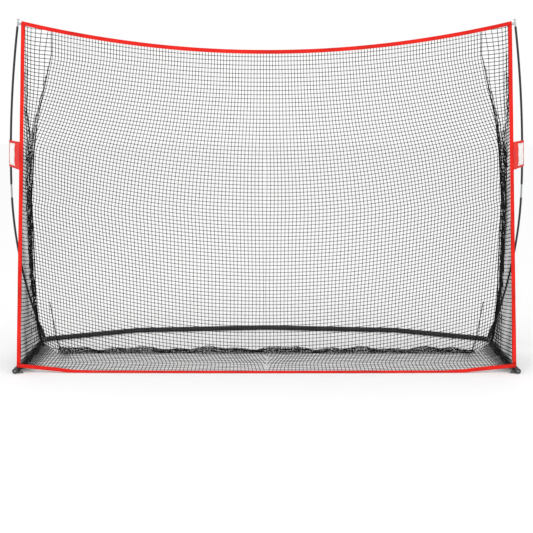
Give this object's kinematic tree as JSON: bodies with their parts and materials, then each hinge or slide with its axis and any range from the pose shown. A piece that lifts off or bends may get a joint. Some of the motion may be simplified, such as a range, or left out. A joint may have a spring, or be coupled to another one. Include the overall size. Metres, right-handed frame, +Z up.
{
  "type": "golf hitting net",
  "caption": "Free-standing golf hitting net: bag-shaped netting with a taped mouth, hung on bowed poles over a jointed tube base.",
  "frame": {"origin": "centre of the footprint, on the ground", "axes": "+X across the mouth, +Y from the mouth to the back, +Z up"},
  "size_m": [3.362, 1.2291, 2.1437],
  "materials": {
    "tube": "satin black powder coat",
    "plug": "moulded, lightly textured",
    "pole": "wound glass fibre, satin black",
    "joint_metal": "bare, drawn",
    "button": "zinc plated",
    "spring": "rolled strip",
    "netting": "knotted twine, square mesh",
    "binding": "woven tape, stitched",
    "webbing": "woven webbing",
    "tab_cloth": "coated plain-weave cloth"
  },
  "bodies": {
    "net_and_frame": {"side_tube_left": "tube", "side_tube_right": "tube", "corner_tube_left": "tube", "corner_tube_right": "tube", "rear_tube_left": "tube", "rear_tube_right": "tube", "centre_tube_left": "tube", "centre_tube_right": "tube", "middle_tube": "tube", "end_cap_left": "plug", "end_cap_right": "plug", "socket_bush_left": "plug", "socket_bush_right": "plug", "lower_pole_left": "pole", "lower_pole_right": "pole", "upper_pole_left": "pole", "upper_pole_right": "pole", "pole_joint_left": "joint_metal", "pole_joint_right": "joint_metal", "tip_pin_left": "joint_metal", "tip_pin_right": "joint_metal", "snap_spring_front_left": "spring", "snap_spring_front_right": "spring", "snap_spring_corner_left": "spring", "snap_spring_corner_right": "spring", "snap_spring_knee_left": "spring", "snap_spring_knee_right": "spring", "snap_spring_middle_left": "spring", "snap_spring_middle_right": "spring", "net_back": "netting", "net_floor": "netting", "net_side_left": "netting", "net_side_right": "netting", "net_gather_left": "netting", "net_gather_right": "netting", "binding_top": "binding", "binding_bottom": "binding", "binding_left": "binding", "binding_right": "binding", "top_loop_left": "webbing", "top_loop_right": "webbing", "corner_strap_left": "webbing", "corner_strap_right": "webbing", "side_tab_left": "tab_cloth", "side_tab_right": "tab_cloth", "tab_sleeve_left": "tab_cloth", "tab_sleeve_right": "tab_cloth"},
    "snap_button_front_left": {"snap_button_front_left": "button"},
    "snap_button_corner_left": {"snap_button_corner_left": "button"},
    "snap_button_knee_left": {"snap_button_knee_left": "button"},
    "snap_button_middle_left": {"snap_button_middle_left": "button"},
    "snap_button_front_right": {"snap_button_front_right": "button"},
    "snap_button_corner_right": {"snap_button_corner_right": "button"},
    "snap_button_knee_right": {"snap_button_knee_right": "button"},
    "snap_button_middle_right": {"snap_button_middle_right": "button"},
    "tab_flap_left": {"tab_flap_left": "tab_cloth"},
    "tab_flap_right": {"tab_flap_right": "tab_cloth"}
  },
  "joints": [
    {"name": "press_front_left", "type": "slide", "parent": "net_and_frame", "child": "snap_button_front_left", "axis": [0, 0, -1], "range_m": [0, 0.0056], "stiffness_N_per_m": 1800, "springref_m": -0.002, "deforming": ["snap_spring_front_left"]},
    {"name": "press_corner_left", "type": "slide", "parent": "net_and_frame", "child": "snap_button_corner_left", "axis": [0, 0, -1], "range_m": [0, 0.0056], "stiffness_N_per_m": 1800, "springref_m": -0.002, "deforming": ["snap_spring_corner_left"]},
    {"name": "press_knee_left", "type": "slide", "parent": "net_and_frame", "child": "snap_button_knee_left", "axis": [0, 0, -1], "range_m": [0, 0.0056], "stiffness_N_per_m": 1800, "springref_m": -0.002, "deforming": ["snap_spring_knee_left"]},
    {"name": "press_middle_left", "type": "slide", "parent": "net_and_frame", "child": "snap_button_middle_left", "axis": [0, 0, -1], "range_m": [0, 0.0056], "stiffness_N_per_m": 1800, "springref_m": -0.002, "deforming": ["snap_spring_middle_left"]},
    {"name": "press_front_right", "type": "slide", "parent": "net_and_frame", "child": "snap_button_front_right", "axis": [0, 0, -1], "range_m": [0, 0.0056], "stiffness_N_per_m": 1800, "springref_m": -0.002, "deforming": ["snap_spring_front_right"]},
    {"name": "press_corner_right", "type": "slide", "parent": "net_and_frame", "child": "snap_button_corner_right", "axis": [0, 0, -1], "range_m": [0, 0.0056], "stiffness_N_per_m": 1800, "springref_m": -0.002, "deforming": ["snap_spring_corner_right"]},
    {"name": "press_knee_right", "type": "slide", "parent": "net_and_frame", "child": "snap_button_knee_right", "axis": [0, 0, -1], "range_m": [0, 0.0056], "stiffness_N_per_m": 1800, "springref_m": -0.002, "deforming": ["snap_spring_knee_right"]},
    {"name": "press_middle_right", "type": "slide", "parent": "net_and_frame", "child": "snap_button_middle_right", "axis": [0, 0, -1], "range_m": [0, 0.0056], "stiffness_N_per_m": 1800, "springref_m": -0.002, "deforming": ["snap_spring_middle_right"]},
    {"name": "open_tab_flap_left", "type": "hinge", "parent": "net_and_frame", "child": "tab_flap_left", "pos_m": [-1.64434, -0.00041, 1.30614], "axis": [0.0816, -0.1816, 0.98], "range_deg": [0, 150]},
    {"name": "open_tab_flap_right", "type": "hinge", "parent": "net_and_frame", "child": "tab_flap_right", "pos_m": [1.64434, -0.00041, 1.30614], "axis": [0.0816, 0.1816, -0.98], "range_deg": [0, 150]}
  ]
}
